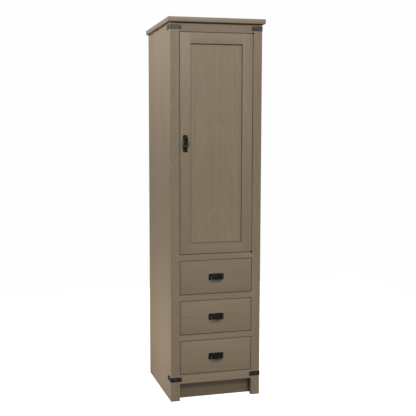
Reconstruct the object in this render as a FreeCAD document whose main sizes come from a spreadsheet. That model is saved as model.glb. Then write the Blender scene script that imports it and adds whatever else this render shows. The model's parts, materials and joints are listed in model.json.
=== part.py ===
import FreeCAD, Part
import os
import re

import Sketcher

# Pantry cabinet: a face-frame case with one inset panel door over three inset drawers.
# Millimetres, +Z up, and the front faces -Y. The origin is on the floor under the middle
# of the whole cabinet, pulls included. Every size that can be set by itself is a cell of
# the Sizes sheet. Places that follow from other sizes are the named formulas in PLACES.

DRAWERS = (1, 2, 3)          # 1 is the top drawer
SHELVES = ("lower", "middle", "upper")
SIDES = (("left", -1), ("right", 1))
HOLE_STEPS = (-2, -1, 0, 1, 2)          # spare pin holes above and below each shelf

DRIVING = {
    # overall
    "overall_height": 2133.6, "case_width": 530.0, "case_depth": 492.6,
    # top board and boards of the case
    "top_thk": 25.4, "top_side_lap": 14.4, "top_front_lap": 15.4,
    "board_thk": 19.0, "back_thk": 6.0, "back_rabbet": 9.5,
    # face frame
    "frame_thk": 20.0, "stile_width": 51.5, "top_rail_height": 50.0, "mid_rail_height": 33.0,
    "drawer_rail_height": 33.0, "bottom_rail_height": 50.0, "toe_height": 100.0,
    "toe_setback": 47.0, "front_gap": 2.4,
    # inside the door compartment
    "shelf_setback": 20.0, "shelf_play": 1.5, "pin_radius": 2.5, "pin_depth": 10.0,
    "pin_reach": 11.0, "pin_plate": 1.6, "pin_edge": 50.0, "pin_pitch": 32.0,
    "wall_rail_height": 80.0, "wall_hole_spacing": 320.0, "wall_hole_radius": 2.75,
    "stop_thk": 12.0, "stop_lap": 10.0,
    # door
    "door_back_room": 1.0, "door_stile": 61.0, "door_rail": 60.0, "panel_thk": 6.5,
    "panel_setback": 8.0, "groove_depth": 10.0, "panel_play": 1.0,
    # catch
    "catch_width": 46.0, "catch_depth": 14.0, "catch_up": 16.0, "catch_down": 14.0,
    "strike_thk": 1.2, "strike_width": 38.0, "strike_height": 8.0, "strike_down": 1.5,
    "catch_left_of_joint": 35.4,
    # knife hinges
    "pivot_proud": 3.5, "nose_radius": 3.2, "hinge_pin_radius": 1.5, "hinge_fit": 0.05,
    "leaf_thk": 2.4, "leaf_width": 8.0, "leaf_end_room": 3.2, "neck_width": 5.0,
    "washer_radius": 3.0, "washer_gap": 0.1,
    # drawers
    "drawer_opening": 195.5, "drawer_front_thk": 19.0, "drawer_side_thk": 12.7,
    "drawer_top_room": 31.5, "drawer_side_low": 14.0, "drawer_bottom_thk": 6.0,
    "drawer_bottom_up": 10.0, "bottom_groove": 6.0,
    # side-mounted slides
    "slide_thk": 12.7, "slide_front_room": 2.0, "slide_rear_room": 26.6,
    "runner_metal": 1.2, "runner_play": 1.0, "runner_room": 1.1,
    "cabinet_runner_height": 45.0, "mid_runner_height": 36.6, "drawer_runner_height": 28.2,
    "slide_up": 62.0, "packer_height": 60.0,
    # pulls
    "plate_thk": 2.2, "pull_pivot_out": 9.0, "knuckle_radius": 3.8, "pull_pin_radius": 1.8,
    "pull_fit": 0.08, "rod_radius": 3.0, "pin_seat": 5.0, "arm_room": 0.8,
    "drawer_plate_width": 89.0, "drawer_plate_height": 37.0, "drawer_plate_arch": 2.0,
    "drawer_pivot_up": 9.5, "drawer_knuckle_in": 16.5, "drawer_knuckle_out": 22.5,
    "drawer_bail_shoulder": 34.0, "drawer_bail_half": 35.0, "drawer_shoulder_drop": 10.5,
    "drawer_bail_side": 20.0, "drawer_bail_drop": 28.0, "drawer_bail_tilt": 18.0,
    "door_plate_width": 25.4, "door_plate_height": 93.8, "door_plate_arch": 1.0,
    "door_pivot_up": 29.5, "door_knuckle_out": 8.0, "door_bail_shoulder": 13.0,
    "door_bail_half": 15.0, "door_shoulder_drop": 14.0, "door_bail_side": 42.0,
    "door_bail_drop": 45.5, "door_bail_tilt": 11.0, "door_pull_rise": 6.0,
    # iron corner brackets: each laps past the joint of stile and rail, and each leg has a
    # near and a far nail, which miss the joints behind it
    "bracket_lap": 11.8, "bracket_side_leg": 65.5, "bracket_height": 25.4, "bracket_thk": 2.2,
    "nail_near": 25.0, "nail_far": 3.5, "nail_side_near": 5.0, "nail_side_far": 35.0,
    "nail_head_radius": 3.6, "nail_head_height": 2.4, "nail_tip_radius": 0.9,
    "nail_shank_radius": 1.1, "nail_shank": 14.0,
}

PLACES = {
    "pull_reach": "(pull_pivot_out + drawer_bail_drop * sin(drawer_bail_tilt * 1 deg)"
                  " + rod_radius)",
    "front": "((pull_reach - case_depth) / 2)",
    "back": "((pull_reach + case_depth) / 2)",
    "half": "(case_width / 2)",
    "inside": "(half - board_thk)",
    "opening": "(half - stile_width)",
    "frame_back": "(front + frame_thk)",
    "panel_front": "(back - back_thk)",
    "case_top": "(overall_height - top_thk)",
    "ceiling": "(case_top - board_thk)",
    "door_high": "(case_top - top_rail_height)",
    "deck": "(toe_height + bottom_rail_height)",
    "drawer_pitch": "(drawer_opening + drawer_rail_height)",
    "drawers_top": "(deck + %d * drawer_pitch - drawer_rail_height)" % len(DRAWERS),
    "door_low": "(drawers_top + mid_rail_height)",
    "shelf_pitch": "((ceiling - door_low) / %d)" % (len(SHELVES) + 1),
    "shelf_front": "(frame_back + shelf_setback)",
    "shelf_back": "(panel_front - shelf_play)",
    "door_thk": "(frame_thk - door_back_room)",
    "door_half": "(opening - front_gap)",
    "door_bottom": "(door_low + front_gap)",
    "door_top": "(door_high - front_gap)",
    "door_back": "(front + door_thk)",
    "hinge_x": "(opening - front_gap / 2)",
    "hinge_y": "(front - pivot_proud)",
    "neck_reach": "(pivot_proud + door_thk / 2)",
    "panel_half": "(door_half - door_stile)",
    "leaf_length": "(hinge_x - neck_reach - panel_half - groove_depth - leaf_end_room)",
    "box_front": "(front + drawer_front_thk)",
    "slide_front": "(box_front + slide_front_room)",
    "box_half": "(opening - slide_thk)",
    "box_inside": "(box_half - drawer_side_thk)",
    "box_back": "(panel_front - slide_rear_room)",
    "drawer_side_height": "(drawer_opening - drawer_side_low - drawer_top_room)",
}

doc = FreeCAD.newDocument("PantryCabinet")
sheet = doc.addObject("Spreadsheet::Sheet", "Sizes")
for row, (alias, value) in enumerate(DRIVING.items(), start=1):
    sheet.set("A%d" % row, alias.replace("_", " "))
    sheet.set("B%d" % row, str(value))
    sheet.setAlias("B%d" % row, alias)
probe = doc.addObject("App::FeaturePython", "Probe")
probe.addProperty("App::PropertyFloat", "Value")
doc.recompute()


def formula(text):
    """Write out the named places in a formula, and point its sizes at the sheet."""
    def spell(word):
        name = word.group()
        if name in PLACES:
            return formula(PLACES[name])
        return "Sizes." + name if name in DRIVING else name
    return re.sub(r"[a-z_]+[a-z_0-9]*", spell, str(text))


def bind(item, **sizes):
    for size, text in sizes.items():
        item.setExpression(size.replace("__", "."), formula(text))
    return item


def put(item, x=0, y=0, z=0):
    return bind(item, Placement__Base__x=x, Placement__Base__y=y, Placement__Base__z=z)


def beside(sign, near, far):
    """Two places on the left or right of the middle, lowest first."""
    return (near, far) if sign > 0 else ("-(%s)" % far, "-(%s)" % near)


def box(label, x, y, z):
    """A box between two formulas along each axis."""
    item = doc.addObject("Part::Box", label)
    bind(item, Length="(%s) - (%s)" % (x[1], x[0]), Width="(%s) - (%s)" % (y[1], y[0]),
         Height="(%s) - (%s)" % (z[1], z[0]))
    return put(item, x[0], y[0], z[0])


TURNS = {"x": FreeCAD.Rotation(FreeCAD.Vector(0, 1, 0), 90),
         "-x": FreeCAD.Rotation(FreeCAD.Vector(0, 1, 0), -90),
         "y": FreeCAD.Rotation(FreeCAD.Vector(1, 0, 0), -90),
         "-y": FreeCAD.Rotation(FreeCAD.Vector(1, 0, 0), 90),
         "z": FreeCAD.Rotation()}


def rod(label, radius, length, along, x, y, z):
    """A cylinder that starts at a point and runs along an axis."""
    item = doc.addObject("Part::Cylinder", label)
    item.Placement.Rotation = TURNS[along]
    bind(item, Radius=radius, Height=length)
    return put(item, x, y, z)


def cone(label, wide, narrow, length, along, x, y, z):
    item = doc.addObject("Part::Cone", label)
    item.Placement.Rotation = TURNS[along]
    bind(item, Radius1=wide, Radius2=narrow, Height=length)
    return put(item, x, y, z)


def fuse(label, parts):
    item = doc.addObject("Part::MultiFuse", label)
    item.Shapes = parts
    return item


def cut(label, blank, tools):
    item = doc.addObject("Part::Cut", label)
    item.Base = blank
    item.Tool = tools[0] if len(tools) == 1 else group(label + "_tools", tools)
    return item


def group(label, parts):
    """Separate solids that share one node."""
    item = doc.addObject("Part::Compound", label)
    item.Links = parts
    return item


def value_of(text):
    """The number that a formula gives now."""
    probe.setExpression("Value", formula(text))
    probe.recompute()
    return probe.Value


def sketch_on(body, role, name):
    sketch = body.newObject("Sketcher::SketchObject", name)
    plane = [item for item in body.Origin.OriginFeatures if item.Role == role][0]
    sketch.AttachmentSupport = (plane, "")
    sketch.MapMode = "FlatFace"
    return sketch


def hold(sketch, kind, place, text):
    """A dimension in a sketch that follows a formula."""
    number = sketch.addConstraint(Sketcher.Constraint(kind, *place, value_of(text)))
    sketch.setExpression("Constraints[%d]" % number, formula(text))


def draw_outline(sketch, corners, closed):
    """Lines and arcs through the corners, each corner held to its two formulas.

    A corner with a third entry is the crown of an arc between its level neighbours.
    """
    count = len(corners)
    points = [FreeCAD.Vector(value_of(corner[0]), value_of(corner[1]), 0) for corner in corners]
    stops = [n for n, corner in enumerate(corners) if len(corner) == 2]
    spans = list(zip(stops, stops[1:] + stops[:1] if closed else stops[1:]))
    for edge, (here, there) in enumerate(spans):
        crown = (here + 1) % count
        is_arc = len(corners[crown]) == 3
        curve = Part.Arc(points[here], points[crown], points[there]) if is_arc else \
            Part.LineSegment(points[here], points[there])
        sketch.addGeometry(curve, False)
        # an arc runs anticlockwise, so its first end may be the later corner
        backwards = sketch.getPoint(edge, 1).distanceToPoint(points[here]) > 1e-6
        for end, corner in zip((2, 1) if backwards else (1, 2), (corners[here], corners[there])):
            hold(sketch, "DistanceX", (edge, end), corner[0])
            hold(sketch, "DistanceY", (edge, end), corner[1])
        if is_arc:
            rise = "abs((%s) - (%s))" % (corners[crown][1], corners[here][1])
            chord = "abs((%s) - (%s))" % (corners[there][0], corners[here][0])
            hold(sketch, "Radius", (edge,), "(%s ^ 2 / 4 + %s ^ 2) / (2 * %s)" % (chord, rise, rise))


def prism(label, corners, thickness, along="z"):
    """A sketched outline padded into a body; its sketch lies on the body's XY plane."""
    body = doc.addObject("PartDesign::Body", label)
    sketch = sketch_on(body, "XY_Plane", label + "_outline")
    draw_outline(sketch, corners, True)
    pad = body.newObject("PartDesign::Pad", label + "_pad")
    pad.Profile = sketch
    pad.setExpression("Length", formula(thickness))
    body.Tip = pad
    body.Placement.Rotation = TURNS[along]
    return body


# ---------------------------------------------------------------- case


def shelf_level(number):
    return "(door_low + %d * shelf_pitch)" % (number + 1)


def pin_rows():
    """Where the shelf pins stand along the depth: a front row and a back row."""
    return ("(shelf_front + pin_edge)", "(shelf_back - pin_edge)")


def pin_level(number):
    return "(%s - pin_plate - pin_radius / 2)" % shelf_level(number)


def case_side(name, sign):
    """A side board, rabbeted for the back panel, with rows of holes for the shelf pins."""
    blank = box("side_%s_blank" % name, beside(sign, "inside", "half"), ("frame_back", "back"),
                (0, "case_top"))
    tools = [box("side_%s_rabbet" % name, beside(sign, "inside", "inside + back_rabbet"),
                 ("panel_front", "back"), ("deck - board_thk", "case_top"))]
    start = beside(sign, "inside", "inside + pin_depth")[0]
    for shelf in range(len(SHELVES)):
        for row, depth in enumerate(pin_rows()):
            for hole, step in enumerate(HOLE_STEPS):
                label = "side_%s_hole_%d_%d_%d" % (name, shelf, row, hole)
                level = "%s + %d * pin_pitch" % (pin_level(shelf), step)
                tools.append(rod(label, "pin_radius", "pin_depth", "x", start, depth, level))
    return cut("side_" + name, blank, tools)


def wall_holes(label, low, high):
    return [rod("%s_hole_%d" % (label, number), "wall_hole_radius", "(%s) - (%s)" % (high, low), "y",
                "%d * wall_hole_spacing / 2" % sign, low, "ceiling - wall_rail_height / 2")
            for number, sign in enumerate((-1, 1))]


def case():
    depth = ("frame_back", "panel_front")
    within = ("-inside", "inside")
    nodes = [box("top_board", ("-half - top_side_lap", "half + top_side_lap"),
                 ("front - top_front_lap", "back"), ("case_top", "overall_height"))]
    nodes += [case_side(name, sign) for name, sign in SIDES]
    nodes.append(box("sub_top", within, depth, ("ceiling", "case_top")))
    nodes.append(box("divider_deck", within, depth, ("door_low - board_thk", "door_low")))
    nodes.append(box("bottom_deck", within, depth, ("deck - board_thk", "deck")))
    nodes.append(box("toe_kick", within, ("front + toe_setback", "front + toe_setback + board_thk"),
                     (0, "deck - board_thk")))
    panel = box("back_panel_blank", ("-inside - back_rabbet", "inside + back_rabbet"),
                ("panel_front", "back"), ("deck - board_thk", "case_top"))
    nodes.append(cut("back_panel", panel, wall_holes("back_panel", "panel_front", "back")))
    rail = box("wall_rail_blank", within, ("panel_front - board_thk", "panel_front"),
               ("ceiling - wall_rail_height", "ceiling"))
    nodes.append(cut("wall_rail", rail, wall_holes("wall_rail", "panel_front - board_thk", "panel_front")))
    nodes.append(box("door_stop", ("-inside", "-opening + stop_lap"), ("frame_back", "frame_back + stop_thk"),
                     ("door_low", "ceiling")))
    return nodes


def face_frame():
    thick = ("front", "frame_back")
    across = ("-opening", "opening")
    nodes = [box("stile_left", ("-half", "-opening"), thick, (0, "case_top")),
             box("stile_right", ("opening", "half"), thick, (0, "case_top"))]
    top = box("top_rail_blank", across, thick, ("door_high", "case_top"))
    nodes.append(cut("top_rail", top, [hinge_leaf("top_rail_mortise", "door_high", "leaf_thk")]))
    middle = box("mid_rail_blank", across, thick, ("drawers_top", "door_low"))
    nodes.append(cut("mid_rail", middle, [hinge_leaf("mid_rail_mortise", "door_low - leaf_thk", "leaf_thk")]))
    for name, step in (("lower", 1), ("upper", 2)):
        high = "deck + %d * drawer_pitch" % step
        nodes.append(box("drawer_rail_" + name, across, thick, (high + " - drawer_rail_height", high)))
    nodes.append(box("bottom_rail", across, thick, ("toe_height", "deck")))
    return nodes


def shelves():
    nodes = []
    pins = []
    for number, name in enumerate(SHELVES):
        level = shelf_level(number)
        nodes.append(box("shelf_" + name, ("-inside + shelf_play", "inside - shelf_play"),
                         ("shelf_front", "shelf_back"), (level, level + " + board_thk")))
        for row, depth in enumerate(pin_rows()):
            for side, sign in SIDES:
                label = "shelf_pin_%s_%d_%s" % (name, row, side)
                start = beside(sign, "inside - pin_reach", "inside + pin_depth")[0]
                peg = rod(label + "_peg", "pin_radius", "pin_depth + pin_reach", "x", start, depth,
                          pin_level(number))
                plate = box(label + "_plate", beside(sign, "inside - pin_reach", "inside"),
                            (depth + " - 2 * pin_radius", depth + " + 2 * pin_radius"),
                            (level + " - pin_plate", level))
                pins.append(fuse(label, [peg, plate]))
    nodes.append(group("shelf_pins", pins))
    return nodes


# ---------------------------------------------------------------- hinges and catch


def hinge_leaf(label, low, thick):
    """The plan shape of a knife-hinge leaf: a nose in front, a slanting neck and a leaf.

    The mortises in the wood are cut with the same shape.
    """
    nose = rod(label + "_nose", "nose_radius", thick, "z", "hinge_x", "hinge_y", low)
    neck = doc.addObject("Part::Box", label + "_neck")
    neck.Placement.Rotation = FreeCAD.Rotation(FreeCAD.Vector(0, 0, 1), 135)
    bind(neck, Length="neck_reach * sqrt(2)", Width="neck_width", Height=thick)
    put(neck, "hinge_x + neck_width / 2 / sqrt(2)", "hinge_y + neck_width / 2 / sqrt(2)", low)
    plate = box(label + "_plate", ("hinge_x - neck_reach - leaf_length", "hinge_x - neck_reach"),
                ("hinge_y + neck_reach - leaf_width / 2", "hinge_y + neck_reach + leaf_width / 2"),
                (low, "%s + %s" % (low, thick)))
    return fuse(label, [nose, neck, plate])


def hinges():
    """Two knife hinges: the frame leaves carry the pins, the door leaves turn on them."""
    frame_leaves = []
    door_leaves = []
    top = ("top", "door_high", "door_top - leaf_thk", "door_top - leaf_thk",
           ("door_top + washer_gap", "door_high"))
    bottom = ("bottom", "door_low - leaf_thk", "door_bottom", "door_low",
              ("door_low", "door_bottom - washer_gap"))
    for name, seat, low, pin_low, washer in (top, bottom):
        leaf = hinge_leaf("frame_leaf_%s_blank" % name, seat, "leaf_thk")
        pin_part = rod("hinge_pin_" + name, "hinge_pin_radius", "front_gap + leaf_thk", "z",
                       "hinge_x", "hinge_y", pin_low)
        ring = rod("hinge_washer_" + name, "washer_radius", "(%s) - (%s)" % (washer[1], washer[0]), "z",
                   "hinge_x", "hinge_y", washer[0])
        frame_leaves.append(fuse("frame_leaf_" + name, [leaf, pin_part, ring]))
        blank = hinge_leaf("door_leaf_%s_blank" % name, low, "leaf_thk")
        bore = rod("door_leaf_%s_bore" % name, "hinge_pin_radius + hinge_fit", "leaf_thk", "z",
                   "hinge_x", "hinge_y", low)
        door_leaves.append(cut("door_leaf_" + name, blank, [bore]))
    return [group("hinge_frame_leaves", frame_leaves)], [group("hinge_door_leaves", door_leaves)]


def catch():
    """A magnet block behind the top rail and the steel strike on the back of the door."""
    left = "(-panel_half - catch_left_of_joint)"
    block = box("door_catch_blank", (left, left + " + catch_width"),
                ("frame_back", "frame_back + catch_depth"),
                ("door_high - catch_down", "door_high + catch_up"))
    relief = box("door_catch_relief", (left, left + " + catch_width"),
                 ("frame_back", "frame_back + strike_thk / 2"), ("door_high - catch_down", "door_high"))
    magnet = cut("door_catch", block, [relief])
    middle = left + " + catch_width / 2"
    high = "door_top - strike_down"
    strike = box("door_strike", (middle + " - strike_width / 2", middle + " + strike_width / 2"),
                 ("door_back", "door_back + strike_thk"), (high + " - strike_height", high))
    return [magnet], [strike]


# ---------------------------------------------------------------- door


def door():
    """Two grooved stiles, two tenoned rails and a flat panel that floats in the grooves."""
    thick = ("front", "door_back")
    tall = ("door_bottom", "door_top")
    groove = ("front + panel_setback", "front + panel_setback + panel_thk")
    groove_reach = ("panel_half", "panel_half + groove_depth")
    between = ("-panel_half", "panel_half")
    nodes = []
    for name, sign in SIDES:
        tools = [box("door_stile_%s_groove" % name, beside(sign, *groove_reach), groove, tall)]
        if sign > 0:
            tools.append(hinge_leaf("door_stile_top_mortise", "door_top - leaf_thk", "leaf_thk"))
            tools.append(hinge_leaf("door_stile_bottom_mortise", "door_bottom", "leaf_thk"))
        blank = box("door_stile_%s_blank" % name, beside(sign, "panel_half", "door_half"), thick, tall)
        nodes.append(cut("door_stile_" + name, blank, tools))
    top = ("top", "door_top - door_rail", "door_top - door_rail + groove_depth", "door_top")
    bottom = ("bottom", "door_bottom + door_rail", "door_bottom + door_rail - groove_depth", "door_bottom")
    for name, inner, seat, outer in (top, bottom):
        up = name == "top"
        blank = box("door_rail_%s_blank" % name, between, thick, (inner, outer) if up else (outer, inner))
        slot = box("door_rail_%s_groove" % name, between, groove, (inner, seat) if up else (seat, inner))
        parts = [cut("door_rail_%s_grooved" % name, blank, [slot])]
        for side, sign in SIDES:
            parts.append(box("door_rail_%s_tenon_%s" % (name, side), beside(sign, *groove_reach), groove,
                             (seat, outer) if up else (outer, seat)))
        nodes.append(fuse("door_rail_" + name, parts))
    grip = "(groove_depth - panel_play)"
    nodes.append(box("door_panel", ("-panel_half - " + grip, "panel_half + " + grip), groove,
                     ("door_bottom + door_rail - " + grip, "door_top - door_rail + " + grip)))
    return nodes


# ---------------------------------------------------------------- pulls


def pull_plate(label, kind, x, z, knuckles):
    """An iron backplate with an arched top edge and knuckles bored for the bail."""
    wide = "%s_plate_width / 2" % kind
    low, high = "-%s_plate_height / 2" % kind, "%s_plate_height / 2 - %s_plate_arch" % (kind, kind)
    body = prism(label + "_plate", [("-" + wide, low), (wide, low), (wide, high),
                                    ("0", "%s_plate_height / 2" % kind, "crown"), ("-" + wide, high)],
                 "plate_thk", "-y")
    put(body, x, "front", z)
    lugs = []
    bores = []
    pivot = "%s + %s_pivot_up" % (z, kind)
    for number, (start, end) in enumerate(knuckles):
        span = "(%s) - (%s)" % (end, start)
        lugs.append(rod("%s_knuckle_%d" % (label, number), "knuckle_radius", span, "x",
                        "%s + %s" % (x, start), "front - pull_pivot_out", pivot))
        lugs.append(box("%s_lug_%d" % (label, number), ("%s + %s" % (x, start), "%s + %s" % (x, end)),
                        ("front - pull_pivot_out", "front - plate_thk / 2"),
                        (pivot + " - knuckle_radius", pivot + " + knuckle_radius")))
        bores.append(rod("%s_bore_%d" % (label, number), "pull_pin_radius + pull_fit", span, "x",
                         "%s + %s" % (x, start), "front - pull_pivot_out", pivot))
    return cut(label, fuse(label + "_blank", [body] + lugs), bores)


def pull_bail(label, kind, x, z, arm_start):
    """A bent rod: two arms that flare, a bowed bar, and a pin at each upper end.

    It is drawn in its own plane with the pins along X, then leans forward by its tilt.
    """
    body = doc.addObject("PartDesign::Body", label + "_bend")
    spine = sketch_on(body, "XZ_Plane", label + "_spine")
    arm, side, shoulder = arm_start + " + rod_radius", kind + "_bail_half", kind + "_bail_shoulder"
    bend_low, side_low = "-%s_shoulder_drop" % kind, "-%s_bail_side" % kind
    draw_outline(spine, [("-(%s)" % arm_start, "0"), ("-(%s)" % arm, "0"), ("-" + shoulder, bend_low),
                         ("-" + side, side_low), ("0", "-%s_bail_drop" % kind, "crown"), (side, side_low),
                         (shoulder, bend_low), (arm, "0"), (arm_start, "0")], False)
    ring = sketch_on(body, "YZ_Plane", label + "_section")
    ring.setExpression("AttachmentOffset.Base.z", formula("-(%s)" % arm_start))
    centre, normal = FreeCAD.Vector(0, 0, 0), FreeCAD.Vector(0, 0, 1)
    ring.addGeometry(Part.Circle(centre, normal, value_of("rod_radius")), False)
    ring.addConstraint(Sketcher.Constraint("Coincident", 0, 3, -1, 1))
    hold(ring, "Radius", (0,), "rod_radius")
    doc.recompute()
    bend = body.newObject("PartDesign::AdditivePipe", label + "_pipe")
    bend.Profile = ring
    bend.Spine = (spine, [])
    bend.Transition = "Round corner"
    body.Tip = bend
    body.Placement.Rotation = FreeCAD.Rotation(FreeCAD.Vector(1, 0, 0), -1)
    bind(body, Placement__Rotation__Angle="%s_bail_tilt * -1 deg" % kind)
    pivot = "%s + %s_pivot_up" % (z, kind)
    put(body, x, "front - pull_pivot_out", pivot)
    out = arm_start + " + rod_radius / 2"
    inner = "%s - arm_room - pin_seat" % arm_start
    pins = []
    for side, sign in SIDES:
        start = "%s + %s" % (x, beside(sign, inner, out)[0])
        pins.append(rod("%s_pin_%s" % (label, side), "pull_pin_radius", "(%s) - (%s)" % (out, inner), "x",
                        start, "front - pull_pivot_out", pivot))
    return fuse(label, [body] + pins)


def drawer_low(number):
    """The lower edge of a drawer's opening; drawer 1 is the top one."""
    return "(deck + %d * drawer_pitch)" % (len(DRAWERS) - number)


def pull(kind, label, x, z, knuckles):
    plate = pull_plate(label + "_plate", kind, x, z, knuckles)
    bail = pull_bail(label + "_bail", kind, x, z, knuckles[-1][1] + " + arm_room")
    return [plate, bail]


def pulls():
    nodes = pull("door", "door_pull", "(-door_half + door_stile / 2)",
                 "((door_bottom + door_top) / 2 + door_pull_rise)",
                 [("-door_knuckle_out", "door_knuckle_out")])
    pair = [("-drawer_knuckle_out", "-drawer_knuckle_in"), ("drawer_knuckle_in", "drawer_knuckle_out")]
    for number in DRAWERS:
        middle = "(%s + drawer_opening / 2)" % drawer_low(number)
        nodes += pull("drawer", "drawer_%d_pull" % number, "0", middle, pair)
    return nodes


# ---------------------------------------------------------------- drawers and slides


# The web and the flanges of each runner, as distances from the side of the opening
# towards the drawer.
RUNNERS = {
    "cabinet": (("0", "runner_metal"),
                ("0", "slide_thk - runner_metal - 2 * runner_room")),
    "mid": (("runner_metal + runner_play", "2 * runner_metal + runner_play"),
            ("runner_metal + runner_play", "slide_thk - runner_metal - runner_room")),
    "drawer": (("slide_thk - runner_metal", "slide_thk"),
               ("2 * runner_metal + runner_play + runner_room", "slide_thk")),
}


def runner(kind, number, side, sign):
    """A channel: an upright web with a flange along its lower and its upper edge."""
    label = "%s_runner_%d_%s" % (kind, number, side)
    level = "(%s + slide_up)" % drawer_low(number)
    low = "%s - %s_runner_height / 2" % (level, kind)
    high = "%s + %s_runner_height / 2" % (level, kind)
    web, flange = [beside(sign, "opening - (%s)" % far, "opening - (%s)" % near)
                   for near, far in RUNNERS[kind]]
    long = ("slide_front", "box_back")
    return fuse(label, [box(label + "_web", web, long, (low, high)),
                        box(label + "_foot", flange, long, (low, low + " + runner_metal")),
                        box(label + "_head", flange, long, (high + " - runner_metal", high))])


def drawer(number):
    """A slab front and a plain box whose bottom sits in grooves on all four sides."""
    low = drawer_low(number)
    name = "drawer_%d_" % number
    foot = low + " + drawer_side_low"
    tall = (foot, foot + " + drawer_side_height")
    slot = (foot + " + drawer_bottom_up", foot + " + drawer_bottom_up + drawer_bottom_thk")
    wide = ("-box_inside - bottom_groove", "box_inside + bottom_groove")
    long = ("box_front - bottom_groove", "box_back - drawer_side_thk + bottom_groove")
    slab = box(name + "front_blank", ("-door_half", "door_half"), ("front", "box_front"),
               (low + " + front_gap", low + " + drawer_opening - front_gap"))

    def grooved(part, blank):
        return cut(name + part, blank, [box(name + part + "_groove", wide, long, slot)])

    walls = []
    for side, sign in SIDES:
        wall = box(name + "side_%s_blank" % side, beside(sign, "box_inside", "box_half"),
                   ("box_front", "box_back"), tall)
        walls.append(grooved("side_" + side, wall))
    back = box(name + "back_blank", ("-box_inside", "box_inside"),
               ("box_back - drawer_side_thk", "box_back"), tall)
    return [grooved("front", slab), group(name + "sides", walls), grooved("back", back),
            box(name + "bottom", wide, long, slot)]


def drawers():
    """Three drawers, each on a pair of telescoping slides of three runners."""
    nodes = []
    cabinet_runners = []
    packers = []
    for number in DRAWERS:
        nodes += drawer(number)
        sets = {kind: [runner(kind, number, side, sign) for side, sign in SIDES] for kind in RUNNERS}
        cabinet_runners += sets["cabinet"]
        nodes.append(group("drawer_%d_mid_runners" % number, sets["mid"]))
        nodes.append(group("drawer_%d_runners" % number, sets["drawer"]))
        level = "(%s + slide_up)" % drawer_low(number)
        for side, sign in SIDES:
            packers.append(box("slide_packer_%d_%s" % (number, side), beside(sign, "opening", "inside"),
                               ("frame_back", "box_back"),
                               (level + " - packer_height / 2", level + " + packer_height / 2")))
    return nodes + [group("cabinet_runners", cabinet_runners), group("slide_packers", packers)]


# ---------------------------------------------------------------- corner brackets


def brackets():
    """Iron straps round the front corners of the top and bottom rails, with their nails."""
    straps = []
    nails = []
    levels = {"top": "case_top - top_rail_height / 2", "bottom": "toe_height + bottom_rail_height / 2"}
    for place, level in levels.items():
        for side, sign in SIDES:
            label = "bracket_%s_%s" % (place, side)
            out = "%d * (half + bracket_thk)" % sign
            face = "%d * half" % sign
            end = "%d * (opening - bracket_lap)" % sign
            back = "front - bracket_thk + bracket_side_leg"
            strap = prism(label, [(out, "front - bracket_thk"), (end, "front - bracket_thk"), (end, "front"),
                                  (face, "front"), (face, back), (out, back)], "bracket_height")
            put(strap, 0, 0, level + " - bracket_height / 2")
            straps.append(strap)
            across, inward = ("x", "-x") if sign > 0 else ("-x", "x")
            for reach, x in (("near", "half - nail_near"), ("far", "opening - nail_far")):
                nails.append(nail("%s_front_%s" % (label, reach), "-y", "y", "%d * (%s)" % (sign, x),
                                  "front - bracket_thk", level))
            for reach in ("near", "far"):
                nails.append(nail("%s_side_%s" % (label, reach), across, inward, out,
                                  "frame_back + nail_side_" + reach, level))
    return [group("corner_brackets", straps), group("bracket_nails", nails)]


def nail(label, outward, inward, x, y, z):
    """A forged nail: a blunt pyramid-like head outside the strap and a shank in the wood."""
    head = cone(label + "_head", "nail_head_radius", "nail_tip_radius", "nail_head_height", outward, x, y, z)
    shank = rod(label + "_shank", "nail_shank_radius", "nail_shank", inward, x, y, z)
    return fuse(label, [head, shank])


def build():
    frame_leaves, door_leaves = hinges()
    magnet, strike = catch()
    return (case() + face_frame() + shelves() + brackets() + frame_leaves + magnet + door() + door_leaves
            + strike + pulls() + drawers())


def check(nodes):
    doc.recompute()
    failed = [item.Label for item in doc.Objects if {"Invalid", "Error"} & set(item.State)]
    failed += [node.Label for node in nodes if node.Shape.isNull() or not node.Shape.isValid()]
    if failed:
        raise SystemExit("failed objects: " + ", ".join(failed))


nodes = build()
check(nodes)
os.makedirs("parts", exist_ok=True)
for node in nodes:
    node.Shape.exportStep("parts/%s.step" % node.Label)
print(len(nodes), "nodes")
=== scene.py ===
import json
import math

import bmesh
import bpy
from mathutils import Matrix, Vector, noise

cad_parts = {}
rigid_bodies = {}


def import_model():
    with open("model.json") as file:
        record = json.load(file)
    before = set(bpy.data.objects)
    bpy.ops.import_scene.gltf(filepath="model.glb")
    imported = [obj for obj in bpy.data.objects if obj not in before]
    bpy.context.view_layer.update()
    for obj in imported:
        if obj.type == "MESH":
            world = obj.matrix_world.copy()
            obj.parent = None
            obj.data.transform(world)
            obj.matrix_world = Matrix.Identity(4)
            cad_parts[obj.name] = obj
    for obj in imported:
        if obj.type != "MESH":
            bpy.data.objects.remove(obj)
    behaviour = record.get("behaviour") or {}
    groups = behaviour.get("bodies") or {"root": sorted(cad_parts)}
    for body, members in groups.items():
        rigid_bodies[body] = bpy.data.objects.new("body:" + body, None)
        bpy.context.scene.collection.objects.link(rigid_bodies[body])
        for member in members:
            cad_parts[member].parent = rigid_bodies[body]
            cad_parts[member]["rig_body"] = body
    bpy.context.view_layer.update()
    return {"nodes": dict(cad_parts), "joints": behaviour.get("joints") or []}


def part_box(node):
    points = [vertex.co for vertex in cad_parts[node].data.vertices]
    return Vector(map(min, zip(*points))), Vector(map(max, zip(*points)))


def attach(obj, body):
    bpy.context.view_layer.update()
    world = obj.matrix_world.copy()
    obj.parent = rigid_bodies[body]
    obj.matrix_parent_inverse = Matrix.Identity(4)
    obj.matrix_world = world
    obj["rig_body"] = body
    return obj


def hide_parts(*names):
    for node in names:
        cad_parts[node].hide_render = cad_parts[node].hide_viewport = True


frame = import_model()

# Looks of a pantry cabinet in taupe-stained hardwood with blackened iron pulls and straps.
# Everything is in metres, and the front of the cabinet faces -Y.

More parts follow.
